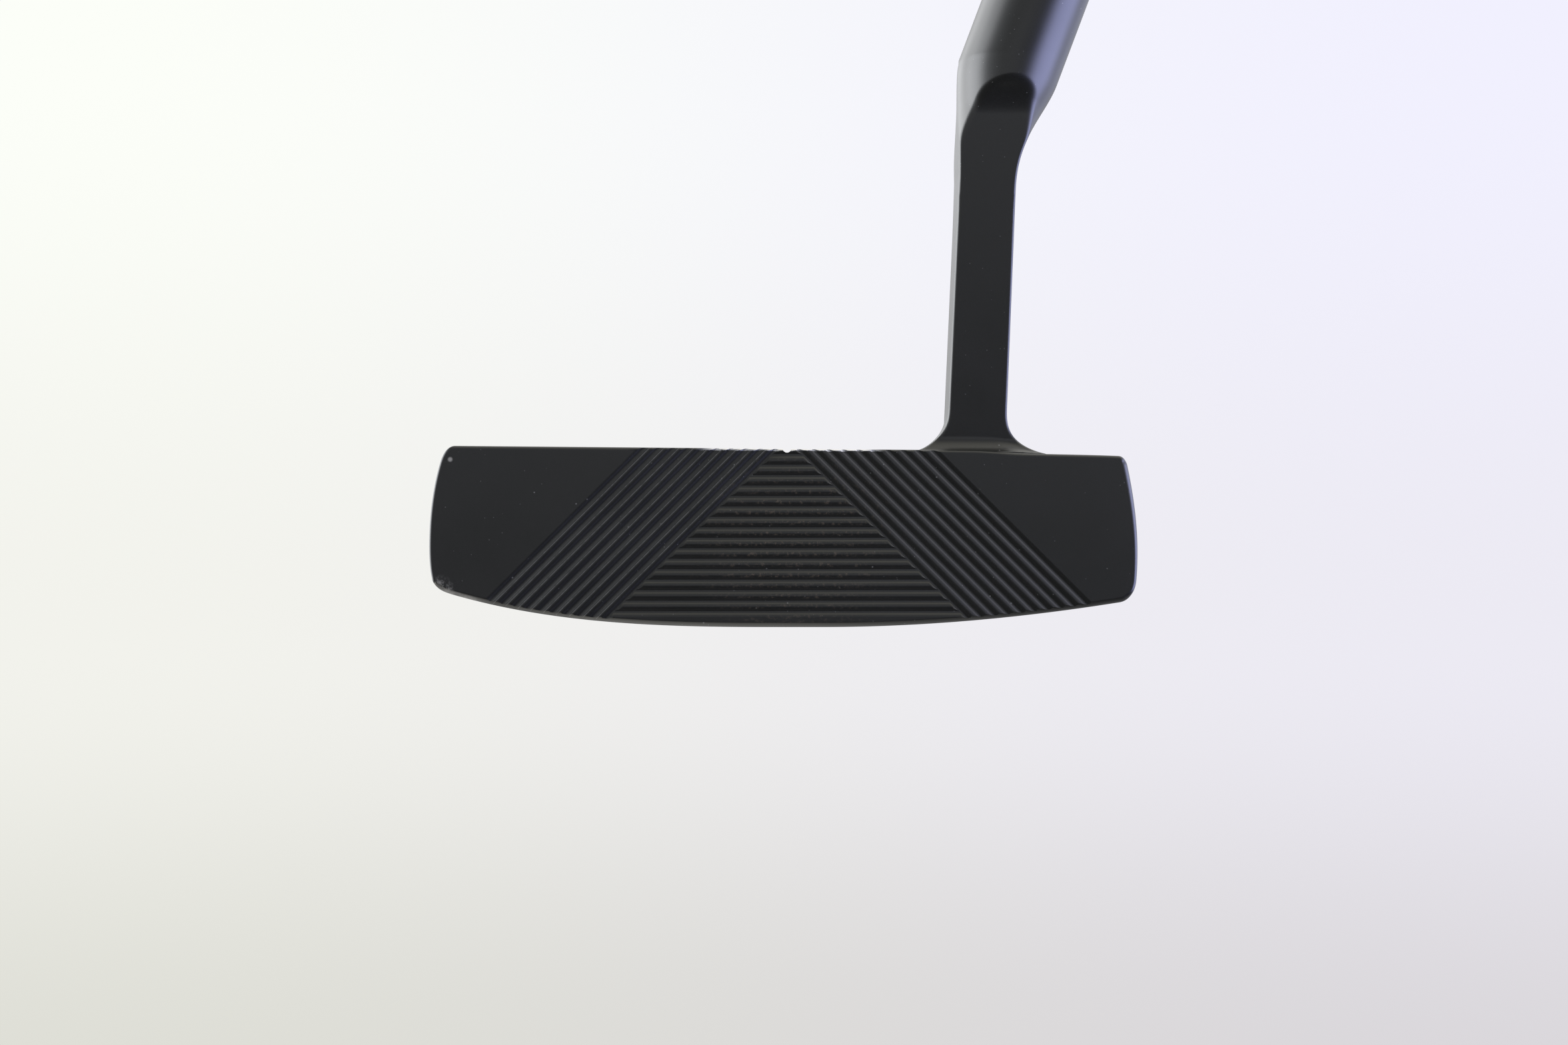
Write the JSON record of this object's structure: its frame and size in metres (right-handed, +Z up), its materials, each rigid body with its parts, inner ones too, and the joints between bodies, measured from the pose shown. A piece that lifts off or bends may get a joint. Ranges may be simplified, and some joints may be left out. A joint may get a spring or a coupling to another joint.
{
  "type": "blade putter",
  "caption": "Right-handed blade putter: milled head with one-piece neck and hosel, stepped steel shaft and pistol grip.",
  "frame": {"origin": "on the flat land under the sole, in the plane of the shaft axis, below the middle of the face's grooves", "axes": "+X from toe to heel, +Y from the face to the rear flange, +Z up with the club in its playing position"},
  "size_m": [0.3851, 0.0287, 0.8348],
  "materials": {
    "head_steel": "satin black physical-vapour-deposited coating on milled steel, worn at the edges",
    "sight_paint": "satin enamel paint fill",
    "shaft_chrome": "polished chrome plating",
    "plug_rubber": "matte moulded rubber",
    "epoxy": "cured two-part epoxy",
    "band_film": "thin glossy film without any print",
    "tape_paper": "creped paper tape",
    "grip_rubber": "matte moulded rubber with a fine pattern",
    "cap_rubber": "matte moulded rubber"
  },
  "bodies": {
    "root": {"head": "head_steel", "flange_sight_paint": "sight_paint", "shaft": "shaft_chrome", "shaft_tip_plug": "plug_rubber", "hosel_epoxy": "epoxy", "shaft_band": "band_film", "grip_tape": "tape_paper", "grip": "grip_rubber", "grip_cap": "cap_rubber"}
  },
  "joints": []
}
